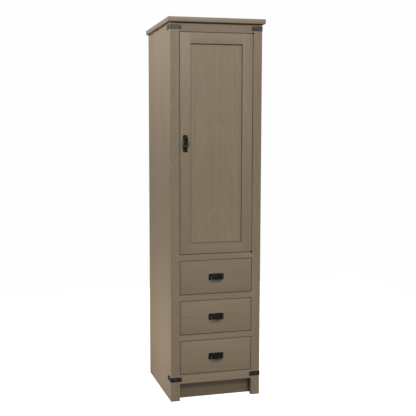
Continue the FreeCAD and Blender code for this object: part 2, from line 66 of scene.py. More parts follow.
MM = 0.001
X, Y, Z = Vector((1, 0, 0)), Vector((0, 1, 0)), Vector((0, 0, 1))
DRAWERS = (1, 2, 3)

joints = {joint["name"]: joint for joint in frame["joints"]}
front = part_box("stile_left")[0].y          # the plane of the face frame, door and drawer fronts


# ---------------------------------------------------------------- node trees


class Net:
    """A node tree with short ways to add to it; a value is a number or another node's socket."""

    def __init__(self, tree):
        self.tree = tree

    def node(self, kind, inputs=None, **settings):
        """A new shader node with its settings made and its inputs fed."""
        item = self.tree.nodes.new("ShaderNode" + kind)
        for name, value in settings.items():
            setattr(item, name, value)
        for name, value in (inputs or {}).items():
            self.feed(item.inputs[name], value)
        return item

    def feed(self, socket, value):
        """Give a socket its value, or link another node's socket to it."""
        if isinstance(value, bpy.types.NodeSocket):
            self.tree.links.new(value, socket)
        else:
            socket.default_value = value

    def calc(self, operation, *values):
        """One sum on numbers, by the name of the Math node's operation."""
        return self.node("Math", dict(enumerate(values)), operation=operation).outputs[0]

    def total(self, *values):
        """All the values added up."""
        sum_so_far = values[0]
        for value in values[1:]:
            sum_so_far = self.calc("ADD", sum_so_far, value)
        return sum_so_far

    def scaled(self, vector, scale):
        """A vector times a scale of its own along each axis."""
        return self.node("VectorMath", {0: vector, 1: scale}, operation="MULTIPLY").outputs[0]

    def split(self, vector):
        """The x, y and z of a vector."""
        return self.node("SeparateXYZ", {0: vector}).outputs

    def join(self, x, y, z):
        """A vector from its x, y and z."""
        return self.node("CombineXYZ", {0: x, 1: y, 2: z}).outputs[0]

    def clouds(self, vector, detail=2.0, roughness=0.5):
        """Soft noise round 0, from about -0.5 to 0.5, one wave to a unit of the vector."""
        item = self.node("TexNoise", {"Vector": vector, "Scale": 1.0, "Detail": detail,
                                      "Roughness": roughness})
        return self.calc("SUBTRACT", item.outputs["Fac"], 0.5)

    def between(self, value, low, high, out_low=0.0, out_high=1.0):
        """A smooth step as value goes from low to high."""
        return self.node("MapRange", {"Value": value, "From Min": low, "From Max": high,
                                      "To Min": out_low, "To Max": out_high},
                         interpolation_type="SMOOTHSTEP").outputs["Result"]

    def chance(self, number):
        """Three random numbers from 0 to 1 for each whole number."""
        item = self.node("TexWhiteNoise", {"W": number}, noise_dimensions="1D")
        return self.node("SeparateColor", {0: item.outputs["Color"]}).outputs

    def shade(self, amount, *colours):
        """A blend through colours, evenly spaced, as amount goes from 0 to 1."""
        ramp = self.node("ValToRGB", {0: amount})
        stops = ramp.color_ramp.elements
        while len(stops) < len(colours):
            stops.new(0.5)
        for number, (stop, colour) in enumerate(zip(stops, colours)):
            stop.position = number / (len(colours) - 1)
            stop.color = (*colour, 1)
        return ramp.outputs[0]


def new_group(name, inputs, outputs):
    """A node group and its inputs and outputs, with a Net to fill it."""
    tree = bpy.data.node_groups.new(name, "ShaderNodeTree")
    for title, kind in inputs.items():
        tree.interface.new_socket(title, in_out="INPUT", socket_type="NodeSocket" + kind)
    for title, kind in outputs.items():
        tree.interface.new_socket(title, in_out="OUTPUT", socket_type="NodeSocket" + kind)
    ends = tree.nodes.new("NodeGroupInput").outputs, tree.nodes.new("NodeGroupOutput").inputs
    return tree, Net(tree), ends[0], ends[1]


def new_material(name):
    """An empty material: its net, its shader node and the material."""
    material = bpy.data.materials.new(name)
    material.use_nodes = True
    material.node_tree.nodes.clear()
    net = Net(material.node_tree)
    shader = net.node("BsdfPrincipled")
    net.node("OutputMaterial", {"Surface": shader.outputs[0]})
    return material, net, shader


def bumped(net, shader, height, distance):
    """Relief of a surface: height from 0 to 1 stands for distance in metres."""
    bump = net.node("Bump", {"Height": height, "Distance": distance, "Strength": 1.0})
    net.feed(shader.inputs["Normal"], bump.outputs[0])


# ---------------------------------------------------------------- wood


def timber():
    """How sawn timber varies, in board coordinates: X across, Y into the board, Z along the grain.

    The board is cut beside the pith of a leaning log, so growth rings show as arches on its
    face, lines on its edges and arcs on its ends. Wide boards are glued from staves, each
    from a log of its own.
    """
    tree, net, given, out = new_group(
        "sawn timber", {"Place": "Vector", "Stave": "Float", "Pith": "Float", "Seed": "Float",
                        "Ring": "Float"},
        {"Ring line": "Float", "Streak": "Float", "Fibre": "Float", "Pore": "Float", "Stave tint": "Float",
         "Mottle": "Float"})
    place, stave, seed, ring = (given[name] for name in ("Place", "Stave", "Seed", "Ring"))
    peak, gone = 0.5 * MM, 3.4 * MM          # how far from a ring's edge its pale line is full and ends
    x, y, z = net.split(place)
    slot = net.calc("ADD", net.calc("DIVIDE", x, stave), 0.5)
    number = net.calc("FLOOR", slot)
    log = net.calc("ADD", net.calc("MULTIPLY", number, 3.0), net.calc("MULTIPLY", seed, 7.0))
    luck = net.chance(log)
    across = net.calc("MULTIPLY", net.calc("SUBTRACT", net.calc("SUBTRACT", slot, number), 0.5), stave)
    shift = net.calc("MULTIPLY", log, 1.7)
    local = net.join(across, y, net.calc("ADD", z, shift))
    lean = net.calc("MULTIPLY", net.clouds(net.scaled(local, (2.0, 2.0, 1.3)), 1.0), 0.04)
    wobble = net.calc("MULTIPLY", net.clouds(net.scaled(local, (16.0, 16.0, 6.0)), 2.0), 0.007)
    pith = net.calc("MULTIPLY", given["Pith"], net.calc("ADD", net.calc("MULTIPLY", luck[0], 0.8), 0.6))
    depth = net.calc("ADD", net.calc("MULTIPLY", luck[1], 0.05), 0.06)
    aside = net.calc("SUBTRACT", across, pith)
    radius = net.calc("SQRT", net.calc("ADD", net.calc("POWER", aside, 2.0),
                                       net.calc("POWER", net.calc("ADD", y, depth), 2.0)))
    taper = net.calc("ADD", net.calc("MULTIPLY", luck[2], 0.04), 0.05)
    age = net.calc("DIVIDE", net.total(radius, lean, wobble, net.calc("MULTIPLY", z, taper)), ring)
    year = net.calc("FLOOR", age)
    steep = net.calc("SQRT", net.calc("ADD", net.calc("POWER", net.calc("DIVIDE", aside, radius), 2.0),
                                      net.calc("POWER", taper, 2.0)))
    left = net.calc("SUBTRACT", 1.0, net.calc("SUBTRACT", age, year))
    distance = net.calc("DIVIDE", net.calc("MULTIPLY", left, ring), steep)
    strength = net.calc("ADD", net.calc("MULTIPLY", net.chance(year)[0], 0.75), 0.25)
    line = net.calc("MULTIPLY", net.between(distance, 0.0, peak),
                    net.between(distance, peak, gone, 1.0, 0.0))
    ripening = net.calc("POWER", net.calc("SUBTRACT", 1.0, left), 3.0)
    drawn = net.total(net.calc("MULTIPLY", line, 0.62), net.calc("MULTIPLY", ripening, 0.38))
    net.feed(out["Ring line"], net.calc("MULTIPLY", drawn, strength))
    net.feed(out["Streak"], net.clouds(net.scaled(local, (120.0, 120.0, 1.8)), 3.0))
    net.feed(out["Fibre"], net.clouds(net.scaled(local, (850.0, 850.0, 16.0)), 2.0))
    pores = net.clouds(net.scaled(local, (1500.0, 1500.0, 70.0)), 1.0)
    net.feed(out["Pore"], net.between(pores, 0.12, 0.22))
    net.feed(out["Stave tint"], net.calc("SUBTRACT", luck[1], 0.5))
    net.feed(out["Mottle"], net.clouds(net.scaled(local, (9.0, 9.0, 3.0)), 2.0))
    return tree


TIMBER = timber()


def wood_finish(name, colours, ring, weights):
    """A finish on timber: its colours from dark to light and how much each figure shows."""
    tree, net, given, out = new_group(
        name, {"Place": "Vector", "Facing": "Float", "Stave": "Float", "Pith": "Float", "Seed": "Float",
               "Tone": "Float"},
        {"Color": "Color", "Roughness": "Float", "Height": "Float"})
    wood = net.node("Group")
    wood.node_tree = TIMBER
    for title, value in {"Place": given["Place"], "Stave": given["Stave"], "Pith": given["Pith"],
                         "Seed": given["Seed"], "Ring": ring}.items():
        net.feed(wood.inputs[title], value)
    end_grain = net.between(given["Facing"], 0.6, 0.9)          # cut ends drink more stain
    tones = [net.calc("MULTIPLY", wood.outputs[title], weight) for title, weight in weights.items()]
    tone = net.total(given["Tone"], *tones, net.calc("MULTIPLY", end_grain, -0.16))
    net.feed(out["Color"], net.shade(tone, *colours))
    net.feed(out["Roughness"], net.total(0.56, net.calc("MULTIPLY", wood.outputs["Streak"], 0.14),
                                         net.calc("MULTIPLY", wood.outputs["Pore"], 0.12)))
    net.feed(out["Height"], net.total(0.6, net.calc("MULTIPLY", wood.outputs["Fibre"], 0.5),
                                      net.calc("MULTIPLY", wood.outputs["Ring line"], 0.15),
                                      net.calc("MULTIPLY", wood.outputs["Pore"], -0.5)))
    return tree


FINISHES = {
    "stained_wood": wood_finish("taupe stain", [(0.150, 0.108, 0.064), (0.236, 0.177, 0.1125),
                                                (0.338, 0.262, 0.176)], 0.008,
                                {"Ring line": 0.25, "Streak": 0.40, "Fibre": 0.14, "Pore": -0.12,
                                 "Stave tint": 0.10, "Mottle": 0.20}),
    "inside_wood": wood_finish("thin taupe stain", [(0.14, 0.104, 0.070), (0.25, 0.195, 0.138),
                                                    (0.37, 0.30, 0.222)], 0.005,
                               {"Ring line": 0.22, "Streak": 0.26, "Fibre": 0.10, "Pore": -0.10,
                                "Stave tint": 0.16, "Mottle": 0.2}),
    "back_plywood": wood_finish("stained rotary ply", [(0.15, 0.108, 0.070), (0.27, 0.205, 0.140),
                                                       (0.40, 0.32, 0.23)], 0.009,
                                {"Ring line": 0.30, "Streak": 0.30, "Fibre": 0.10, "Pore": -0.10,
                                 "Stave tint": 0.1, "Mottle": 0.3}),
    "packer_wood": wood_finish("bare softwood", [(0.36, 0.23, 0.12), (0.55, 0.39, 0.22),
                                                 (0.68, 0.52, 0.32)], 0.004,
                               {"Ring line": -0.5, "Streak": 0.3, "Fibre": 0.2, "Pore": -0.10,
                                "Stave tint": 0.2, "Mottle": 0.2}),
    "drawer_maple": wood_finish("clear-coated maple", [(0.42, 0.27, 0.145), (0.60, 0.43, 0.26),
                                                       (0.72, 0.56, 0.37)], 0.005,
                                {"Ring line": -0.22, "Streak": 0.26, "Fibre": 0.14, "Pore": -0.12,
                                 "Stave tint": 0.2, "Mottle": 0.3}),
}


def painted_shade(net, place, low, high, edges, width):
    """How much painted shade darkens the edges of a board, from 0 to 1.

    The edges are named by the side they look to, each with its distance from the board's end.
    """
    found = 0.0
    for side, inset in edges.items():
        axis, sign = "xyz".index(side[1]), 1 if side[0] == "+" else -1
        edge = sign * (high if sign > 0 else low)[axis] - inset
        reach = net.calc("MULTIPLY", net.split(place)[axis], float(sign))
        found = net.calc("MAXIMUM", found, net.between(reach, edge - width, edge))
    return found


def board_material(node, slot, along, face, stave, pith, seed, tone):
    """The finish on one board, turned so that its grain runs along it from its own middle."""
    material, net, shader = new_material("%s %s" % (slot, node))
    place = net.node("TexCoord")
    side = face.cross(along) * -1
    turn = Matrix((side, face, along)).to_3x3()
    low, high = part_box(node)
    middle = turn @ ((low + high) / 2)
    turned = net.node("Mapping", {"Vector": place.outputs["Object"], "Location": -middle,
                                  "Rotation": turn.to_euler()})
    facing = net.node("Mapping", {"Vector": place.outputs["Normal"], "Rotation": turn.to_euler()},
                      vector_type="VECTOR")
    # painted shade along the board's edges in recesses, gaps and under the top's overhang
    if node in PAINTED_SHADE_EDGES:
        tone = net.calc("SUBTRACT", tone, painted_shade(net, place.outputs["Object"], low, high, *PAINTED_SHADE_EDGES[node]))
    finish = net.node("Group")
    finish.node_tree = FINISHES[slot]
    for title, value in {"Place": turned.outputs[0], "Stave": stave, "Pith": pith, "Seed": float(seed),
                         "Tone": tone,
                         "Facing": net.calc("ABSOLUTE", net.split(facing.outputs[0])[2])}.items():
        net.feed(finish.inputs[title], value)
    net.feed(shader.inputs["Base Color"], finish.outputs["Color"])
    net.feed(shader.inputs["Roughness"], finish.outputs["Roughness"])
    shader.inputs["Coat Weight"].default_value = 0.06
    shader.inputs["Coat Roughness"].default_value = 0.32
    bumped(net, shader, finish.outputs["Height"], 0.12 * MM)
    return material


# Every board: the way its grain runs, the way its broad face looks and the width of its staves in metres.
UPRIGHT, LEVEL, FLAT, RUNNING = (Z, Y), (X, Y), (X, Z), (Y, X)
BOARDS = {
    "stained_wood": {
        "top_board": (FLAT, 0.17), "side_left": ((Z, X), 0.125), "side_right": ((Z, X), 0.125),
        "stile_left": (UPRIGHT, 0.08), "stile_right": (UPRIGHT, 0.08), "top_rail": (LEVEL, 0.09),
        "mid_rail": (LEVEL, 0.08), "drawer_rail_lower": (LEVEL, 0.08), "drawer_rail_upper": (LEVEL, 0.08),
        "bottom_rail": (LEVEL, 0.09), "toe_kick": (LEVEL, 0.16), "door_stile_left": (UPRIGHT, 0.09),
        "door_stile_right": (UPRIGHT, 0.09), "door_rail_top": (LEVEL, 0.09),
        "door_rail_bottom": (LEVEL, 0.09), "door_panel": (UPRIGHT, 0.6),
        "drawer_1_front": (LEVEL, 0.2), "drawer_2_front": (LEVEL, 0.2), "drawer_3_front": (LEVEL, 0.2),
    },
    "inside_wood": {
        "sub_top": (FLAT, 0.14), "divider_deck": (FLAT, 0.14), "bottom_deck": (FLAT, 0.14),
        "wall_rail": (LEVEL, 0.12), "door_stop": (UPRIGHT, 0.06), "shelf_lower": (FLAT, 0.12),
        "shelf_middle": (FLAT, 0.12), "shelf_upper": (FLAT, 0.12),
    },
    "back_plywood": {"back_panel": (UPRIGHT, 0.7)},
    "packer_wood": {"slide_packers": (RUNNING, 0.09)},
    "drawer_maple": {
        "drawer_%d_%s" % (number, part): look for number in DRAWERS for part, look in {
            "sides": (RUNNING, 0.18), "back": (LEVEL, 0.18), "bottom": (FLAT, 0.6)}.items()
    },
}
# Where shade is painted: the edges of each board in a recess, beside a gap or under the top's overhang,
# each with its distance inside the board, and how wide.
PAINTED_SHADE_EDGES = {
    "door_panel": ({"-x": 12 * MM, "+x": 9 * MM, "-z": 10 * MM, "+z": 12 * MM}, 4 * MM),
    "door_stile_left": ({"-x": 0, "-z": 0, "+z": 0}, 3.5 * MM),
    "door_stile_right": ({"+x": 0, "-z": 0, "+z": 0}, 3.5 * MM),
    "door_rail_top": ({"+z": 0}, 3.5 * MM), "door_rail_bottom": ({"-z": 0}, 3.5 * MM),
}
for number in DRAWERS:
    PAINTED_SHADE_EDGES["drawer_%d_front" % number] = ({"-x": 1 * MM, "+x": 0, "-z": 1 * MM, "+z": 0}, 3.5 * MM)
# painted shade along the top of these boards, under the overhang of the top board
for node in ("top_rail", "stile_left", "stile_right", "side_left", "side_right"):
    PAINTED_SHADE_EDGES[node] = ({"+z": 2 * MM}, 9 * MM)
# How light each board is, from 0 to 1, where it differs from the middle: partly how it took the stain,
# partly painted light and shade; the toe kick's near-black tone is painted shade of its recess, the bottom
# rail's paler tone painted light.
STAIN_AND_LIGHT_TONES = {"door_panel": 0.58, "top_board": 0.60, "toe_kick": 0.02, "stile_right": 0.48, "stile_left": 0.44,
         "top_rail": 0.32, "bottom_rail": 0.64, "door_rail_top": 0.44, "door_stile_right": 0.48,
         "drawer_1_front": 0.42}
# How far beside the middle of each board its tree's pith lay, in metres.
PITHS = {"door_panel": 0.045, "drawer_1_front": -0.055, "drawer_2_front": 0.07, "drawer_3_front": 0.17,
         "stile_left": -0.11, "door_stile_left": -0.09, "side_left": 0.08}
MATERIALS = {}
for slot, boards in BOARDS.items():
    for node, ((along, face), stave) in boards.items():
        MATERIALS[node] = board_material(node, slot, along, face, stave, PITHS.get(node, 0.13),
                                         len(MATERIALS) + 1, STAIN_AND_LIGHT_TONES.get(node, 0.5))


# ---------------------------------------------------------------- metals and plastic


def hammered_iron():
    """Blackened, waxed iron: its dents stay dark and its crests are rubbed to grey; on the straps and nail
    heads the crest mark also holds painted light.
    """
    material, net, shader = new_material("blackened iron")
    place = net.node("TexCoord").outputs["Object"]
    crest = net.node("Attribute", attribute_name="crest").outputs["Fac"]
    soot = net.clouds(net.scaled(place, (90.0, 90.0, 90.0)), 3.0)
    grit = net.clouds(net.scaled(place, (900.0, 900.0, 900.0)), 2.0)
    # how grey the iron shows: rubbed wear, with painted light on the straps and nail heads
    rub_and_light = net.total(crest, net.calc("MULTIPLY", soot, 0.45),
                    net.calc("MULTIPLY", grit, 0.25))
    net.feed(shader.inputs["Base Color"], net.shade(rub_and_light, (0.004, 0.004, 0.0035), (0.011, 0.0108, 0.010),
                                                    (0.050, 0.049, 0.045), (0.14, 0.138, 0.130)))
    net.feed(shader.inputs["Roughness"], net.total(0.50, net.calc("MULTIPLY", soot, 0.3),
                                                   net.calc("MULTIPLY", crest, -0.12)))
    shader.inputs["Metallic"].default_value = 0.4
    shader.inputs["Specular IOR Level"].default_value = 0.30
    bumped(net, shader, net.total(0.5, grit), 0.10 * MM)
    return material


def plain_metal(name, dark, light, roughness, grain):
    """Sheet or bar metal with faint marks along its length."""
    material, net, shader = new_material(name)
    place = net.node("TexCoord").outputs["Object"]
    marks = net.clouds(net.scaled(place, grain), 3.0)
    stain = net.clouds(net.scaled(place, (60.0, 60.0, 60.0)), 2.0)
    tone = net.total(0.5, net.calc("MULTIPLY", marks, 0.6), net.calc("MULTIPLY", stain, 0.6))
    net.feed(shader.inputs["Base Color"], net.shade(tone, dark, light))
    net.feed(shader.inputs["Roughness"], net.total(roughness, net.calc("MULTIPLY", marks, 0.15),
                                                   net.calc("MULTIPLY", stain, 0.15)))
    shader.inputs["Metallic"].default_value = 1.0
    bumped(net, shader, net.total(0.5, marks), 0.03 * MM)
    return material


def moulded_plastic():
    """Dark brown plastic with a fine grain."""
    material, net, shader = new_material("moulded plastic")
    place = net.node("TexCoord").outputs["Object"]
    grain = net.clouds(net.scaled(place, (1300.0, 1300.0, 1300.0)), 2.0)
    flow = net.clouds(net.scaled(place, (40.0, 40.0, 40.0)), 1.0)
    net.feed(shader.inputs["Base Color"], net.shade(net.total(0.5, grain, flow), (0.030, 0.020, 0.014),
                                                    (0.055, 0.040, 0.029)))
    net.feed(shader.inputs["Roughness"], net.total(0.55, net.calc("MULTIPLY", flow, 0.2)))
    bumped(net, shader, net.total(0.5, grain), 0.05 * MM)
    return material


IRON = hammered_iron()
HINGE = plain_metal("patinated hinge steel", (0.050, 0.046, 0.042), (0.12, 0.112, 0.104), 0.42,
                    (60.0, 900.0, 900.0))
ZINC = plain_metal("zinc plate", (0.44, 0.45, 0.47), (0.66, 0.67, 0.69), 0.34, (1200.0, 30.0, 1200.0))
PLASTIC = moulded_plastic()
for node, material in {"shelf_pins": ZINC, "hinge_frame_leaves": HINGE, "hinge_door_leaves": HINGE,
                       "door_strike": ZINC, "cabinet_runners": ZINC, "door_catch": PLASTIC,
                       "corner_brackets": IRON, "bracket_nails": IRON, "door_pull_plate": IRON,
                       "door_pull_bail": IRON}.items():
    MATERIALS[node] = material
for number in DRAWERS:
    for part, material in {"runners": ZINC, "mid_runners": ZINC, "pull_plate": IRON,
                           "pull_bail": IRON}.items():
        MATERIALS["drawer_%d_%s" % (number, part)] = material

for node, item in frame["nodes"].items():
    item.data.materials.clear()
    item.data.materials.append(MATERIALS[node])


# ---------------------------------------------------------------- making pieces


def finished(name, bm, body, material, nodes=(), sharp=35.0):
    """Turn a bmesh into a piece of the cabinet that rides on a body and may stand for CAD nodes."""
    mesh = bpy.data.meshes.new(name)
    bm.to_mesh(mesh)
    bm.free()
    for polygon in mesh.polygons:
        polygon.use_smooth = True
    mesh.set_sharp_from_angle(angle=math.radians(sharp))
    piece = bpy.data.objects.new(name, mesh)
    bpy.context.scene.collection.objects.link(piece)
    mesh.materials.append(material)
    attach(piece, body)
    if nodes:
        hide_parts(*nodes)
    return piece


def copy_of(node):
    """A CAD node's mesh as one closed bmesh of plain faces."""
    bm = bmesh.new()
    bm.from_mesh(frame["nodes"][node].data)
    bmesh.ops.remove_doubles(bm, verts=bm.verts, dist=0.001 * MM)
    bmesh.ops.dissolve_limit(bm, angle_limit=math.radians(0.5), verts=bm.verts, edges=bm.edges)
    return bm


def solids_of(node):
    """The lowest and highest corner of each separate solid in a CAD node."""
    bm = copy_of(node)
    found = []
    waiting = set(bm.verts)
    while waiting:
        island = []
        spread = [waiting.pop()]
        while spread:
            vert = spread.pop()
            island.append(vert.co.copy())
            near = {edge.other_vert(vert) for edge in vert.link_edges} & waiting
            waiting -= near
            spread += near
        found.append((Vector(map(min, zip(*island))), Vector(map(max, zip(*island)))))
    bm.free()
    return sorted(found, key=lambda corners: tuple(corners[0]))


def rounded(bm, edges, size, segments=3):
    """Bevel some edges of a bmesh round."""
    bmesh.ops.bevel(bm, geom=edges, offset=size, offset_type="OFFSET", affect="EDGES", segments=segments,
                    profile=0.5, material=-1, clamp_overlap=True)


def outer_edges(bm, ways):
    """The edges where two of the mesh's outermost flat sides meet, of the sides named."""
    low = Vector(map(min, zip(*[vert.co for vert in bm.verts])))
    high = Vector(map(max, zip(*[vert.co for vert in bm.verts])))
    sides = {sign + way: (axis, corner) for axis, way in enumerate("xyz")
             for sign, corner in (("-", low), ("+", high))}
    named = [(axis, corner[axis]) for axis, corner in (sides[way] for way in ways.split())]
    found = []
    for edge in bm.edges:
        on = [axis for axis, level in named
              if all(abs(vert.co[axis] - level) < 0.01 * MM for vert in edge.verts)]
        if len(on) == 2:
            found.append(edge)
    return found


def eased(node, ways, size):
    """A board with its free edges sanded round."""
    bm = copy_of(node)
    rounded(bm, outer_edges(bm, ways), size)
    body = frame["nodes"][node]["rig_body"]
    return finished(node + "_eased", bm, body, MATERIALS[node], [node], sharp=50.0)


def box_shape(bm, low, high):
    """A box from its corners; gives its vertices."""
    middle, size = (Vector(low) + Vector(high)) / 2, Vector(high) - Vector(low)
    place = Matrix.Translation(middle) @ Matrix.Diagonal((*size, 1))
    return bmesh.ops.create_cube(bm, size=1.0, matrix=place)["verts"]


def edges_of(verts):
    """Every edge that touches the vertices, always in the same order."""
    return list(dict.fromkeys(edge for vert in verts for edge in vert.link_edges))


def loop_of(ring):
    """The edges that join the vertices of a ring to each other."""
    return [edge for edge in edges_of(ring) if all(end in ring for end in edge.verts)]


def rims_of(verts):
    """The edges of a rod or a plate where its side turns sharply into its end."""
    return [edge for edge in edges_of(verts) if edge.calc_face_angle(0) > 1.0]


def rod_shape(bm, start, end, radius, segments=24):
    """A round rod between two points; gives its vertices."""
    start, end = Vector(start), Vector(end)
    turn = (end - start).to_track_quat("Z", "Y").to_matrix().to_4x4()
    place = Matrix.Translation((start + end) / 2) @ turn
    return bmesh.ops.create_cone(bm, cap_ends=True, segments=segments, radius1=radius, radius2=radius,
                                 depth=(end - start).length, matrix=place)["verts"]


# ---------------------------------------------------------------- wood with eased edges

eased("top_board", "-x +x -y +y -z +z", 1.2 * MM)
eased("stile_left", "-x -y", 1.0 * MM)
eased("stile_right", "+x -y", 1.0 * MM)
eased("door_stile_left", "-x -y +y -z +z", 0.6 * MM)
eased("door_stile_right", "+x -y +y -z +z", 0.6 * MM)
eased("door_rail_top", "-y +y +z", 0.6 * MM)
eased("door_rail_bottom", "-y +y -z", 0.6 * MM)
for name in ("lower", "middle", "upper"):
    eased("shelf_" + name, "-y -z +z", 1.5 * MM)
for number in DRAWERS:
    eased("drawer_%d_front" % number, "-x +x -y +y -z +z", 0.6 * MM)


# ---------------------------------------------------------------- forged and hammered iron

DENT = 4.6 * MM          # how far apart the hammer blows fall
PIN = 1.8 * MM           # radius of the pins that the bails turn on
EYE = 3.7 * MM           # radius of the eyes at the ends of the bails
KNUCKLE = 3.8 * MM       # radius of the posts that hold the pins
PLATE = 2.2 * MM         # thickness of the pulls' plates
LIGHT_SPLIT_HEIGHT = 1.0              # iron above this height is painted lighter or darker than iron below it, for how the light falls


def hammer(bm, depth, struck, wear_and_light=0.0):
    """Beat the skin of a piece: shallow round dents, with the crests between them marked.

    The wear value tells how much grey shows: above 0 in the dents too, below 0 on the crests alone. It is
    rubbed wear, and on the corner straps also painted light.
    """
    crest = bm.verts.layers.float.new("crest")
    bm.normal_update()
    for vert in filter(struck, bm.verts):
        near = noise.voronoi(vert.co / DENT)[0]
        height = min(1.0, (near[1] - near[0]) * 2.2)
        vert[crest] = wear_and_light + (1.0 - height) * (0.65 - 0.3 * wear_and_light)
        vert.co -= vert.normal * depth * height


def mark_crests(bm, amount):
    """Mark how grey a piece is at each vertex, by a function of the vertex: rubbed wear, and on the nail
    heads painted light too.
    """
    crest = bm.verts.layers.float.new("crest")
    for vert in bm.verts:
        vert[crest] = amount(vert)


def metal_sheet(bm, length, height, thickness, step, corner, arch=0.0):
    """A plate of iron in the XZ plane, its back at y = 0 and its front at y = -thickness.

    Its corners are rounded, and its top edge rises to an arch in the middle.
    """
    across, up = round(length / step), round(height / step)
    verts = bmesh.ops.create_grid(bm, x_segments=across, y_segments=up, size=0.5)["verts"]
    bmesh.ops.transform(bm, matrix=Matrix.Rotation(math.radians(90), 4, "X") @
                        Matrix.Diagonal((length, height, 1, 1)), verts=verts)
    for vert in verts:
        inner = Vector((math.copysign(max(0, length / 2 - corner), vert.co.x), 0,
                        math.copysign(max(0, height / 2 - corner), vert.co.z)))
        reach = Vector((abs(vert.co.x) - abs(inner.x), 0, abs(vert.co.z) - abs(inner.z)))
        if reach.x > 0 and reach.z > 0:
            reach *= max(reach.x, reach.z) / reach.length
            vert.co = inner + Vector((math.copysign(reach.x, inner.x), 0, math.copysign(reach.z, inner.z)))
        share = vert.co.z / height + 0.5
        vert.co.z += share * arch * (1 - (2 * vert.co.x / length) ** 2) - share * arch
    bmesh.ops.solidify(bm, geom=bm.faces[:], thickness=thickness)
    bmesh.ops.recalc_face_normals(bm, faces=bm.faces)
    middle = sum((vert.co.y for vert in bm.verts)) / len(bm.verts)
    bmesh.ops.translate(bm, vec=(0, -thickness / 2 - middle, 0), verts=bm.verts)
    rounded(bm, rims_of(bm.verts), 0.6 * MM, 2)


def strap(bm, wood_corner, legs, height, thickness, side, wear_and_light):
    """A flat bar bent round a corner of the cabinet; side is -1 at the left and 1 at the right."""
    front_leg, side_leg = legs
    flat = bmesh.new()
    metal_sheet(flat, front_leg + side_leg, height, thickness, 1.9 * MM, 1.2 * MM)
    bmesh.ops.translate(flat, vec=((front_leg - side_leg) / 2, 0, 0), verts=flat.verts)
    hammer(flat, 0.45 * MM, lambda vert: vert.co.y < -thickness / 2, wear_and_light)
    inner = 1.4 * MM
    quarter = math.pi / 4 * (inner + thickness / 2)          # half the length of the bend
    for vert in flat.verts:
        along, out = vert.co.x, -vert.co.y
        if along > quarter:
            x, y = inner + along - quarter, -out
        elif along < -quarter:
            x, y = -out, inner - along - quarter
        else:
            angle = (along + quarter) / quarter * math.pi / 4
            x = inner - (inner + out) * math.cos(angle)
            y = inner - (inner + out) * math.sin(angle)
        vert.co.x, vert.co.y = wood_corner.x - side * x, wood_corner.y + y
        vert.co.z += wood_corner.z
    bmesh.ops.recalc_face_normals(flat, faces=flat.faces)
    merge_into(bm, flat)


def merge_into(bm, other):
    """Add another bmesh to this one, through a mesh that is thrown away."""
    mesh = bpy.data.meshes.new("passing")
    other.to_mesh(mesh)
    other.free()
    bm.from_mesh(mesh)
    bpy.data.meshes.remove(mesh)


def corner_straps():
    """Four hammered straps, bent round the front corners of the case."""
    bm = bmesh.new()
    case_low, case_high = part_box("stile_left")[0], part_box("stile_right")[1]
    for low, high in solids_of("corner_brackets"):
        side = 1 if low.x > 0 else -1
        corner = Vector((case_high.x if side > 0 else case_low.x, front, (low.z + high.z) / 2))
        thickness = front - low.y
        # painted light: straps above the split height are painted greyer, as the lamp above lights them;
        # the lower ones stay dark
        wear_and_light = 0.42 if low.z > LIGHT_SPLIT_HEIGHT else 0.08
        strap(bm, corner, (high.x - low.x - thickness, high.y - front), high.z - low.z, thickness, side,
              wear_and_light)
    finished("corner_straps", bm, "case", IRON, ["corner_brackets"])


def forged_nails():
    """Nails with faceted heads, hammered square."""
    bm = bmesh.new()
    head, rise, shank, length = 3.6 * MM, 2.4 * MM, 1.1 * MM, 14 * MM
    for number, (low, high) in enumerate(solids_of("bracket_nails")):
        middle = (low + high) / 2
        size = high - low
        way = -Y if size.y > size.x else X * math.copysign(1, middle.x)
        tip = Vector([high[axis] if way[axis] > 0 else low[axis] if way[axis] < 0 else middle[axis]
                      for axis in range(3)])
        turn = way.to_track_quat("Z", "Y").to_matrix().to_4x4() @ \
            Matrix.Rotation(0.35 + 1.3 * number, 4, "Z")
        place = Matrix.Translation(tip - way * rise / 2) @ turn
        cone = bmesh.ops.create_cone(bm, cap_ends=True, segments=8, radius1=head, radius2=head * 0.38,
                                     depth=rise, matrix=place)["verts"]
        rounded(bm, edges_of(cone), 0.35 * MM, 2)
        rod_shape(bm, tip - way * rise, tip - way * length, shank, 8)
    # painted light: nail heads below the split height are painted pale for their highlights, those above
    # darker
    mark_crests(bm, lambda vert: 0.3 if vert.co.z > LIGHT_SPLIT_HEIGHT else 0.85)
    finished("strap_nails", bm, "case", IRON, ["bracket_nails"])


def sweep(bm, path, widths, depths, square, normal):
    """A bar forged along a path in a plane: wide in the plane, deep along the plane's normal.

    A ring is extruded from point to point, and both ends are closed.
    """
    count = 14
    ring = bmesh.ops.create_circle(bm, cap_ends=False, radius=1.0, segments=count)["verts"]
    shape = []
    for vert in ring:
        x, y = vert.co.x, vert.co.y
        shape.append((math.copysign(abs(x) ** square, x), math.copysign(abs(y) ** square, y)))
    rings = []
    for number, point in enumerate(path):
        ahead, behind = path[min(number + 1, len(path) - 1)], path[max(number - 1, 0)]
        sideways = normal.cross((ahead - behind).normalized())
        if number:
            grown = bmesh.ops.extrude_edge_only(bm, edges=loop_of(ring))["geom"]
            fresh = [item for item in grown if isinstance(item, bmesh.types.BMVert)]
            partner = {}
            for vert in fresh:
                old = next(edge.other_vert(vert) for edge in vert.link_edges
                           if edge.other_vert(vert) in ring)
                partner[old] = vert
            ring = [partner[vert] for vert in ring]
        for vert, (x, y) in zip(ring, shape):
            vert.co = point + sideways * x * widths[number] / 2 + normal * y * depths[number] / 2
        rings.append(ring)
    for end in (rings[0], rings[-1]):
        bmesh.ops.contextual_create(bm, geom=loop_of(end))
    bmesh.ops.recalc_face_normals(bm, faces=bm.faces)
    return [vert for ring in rings for vert in ring]


